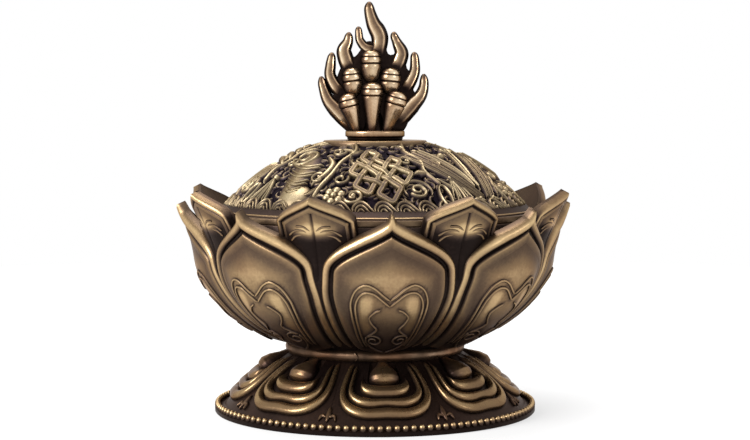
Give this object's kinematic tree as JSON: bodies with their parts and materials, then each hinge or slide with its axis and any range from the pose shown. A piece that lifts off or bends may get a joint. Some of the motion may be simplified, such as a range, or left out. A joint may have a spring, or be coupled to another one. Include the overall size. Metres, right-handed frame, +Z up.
{
  "type": "incense cone holder",
  "caption": "Lotus-shaped metal incense cone holder on a flared stand, with a pierced domed lid and a flame finial.",
  "frame": {"origin": "centre of the stand's foot, on the surface it stands on", "axes": "+Z up, -Y towards the front petal, +X to the right seen from the front"},
  "size_m": [0.0978, 0.0978, 0.1015],
  "materials": {
    "brass": "cast, dark patina in the recesses, rubbed bright on the edges",
    "copper": "polished, reddish, dark in the recesses",
    "steel": "plated",
    "fibre": "matt felted fibre"
  },
  "bodies": {
    "base": {"stand": "brass", "lotus_bowl": "brass", "bowl_washer": "steel", "bowl_screw": "steel", "fireproof_pad": "fibre"},
    "dish": {"cone_dish": "brass"},
    "lid": {"pierced_lid": "brass", "finial": "copper", "finial_washer": "steel", "finial_screw": "steel"}
  },
  "joints": [
    {"name": "lid_lift", "type": "slide", "parent": "base", "child": "lid", "axis": [0, 0, 1], "range_m": [0, 0.08]},
    {"name": "dish_lift", "type": "slide", "parent": "base", "child": "dish", "axis": [0, 0, 1], "range_m": [0, 0.03]}
  ]
}
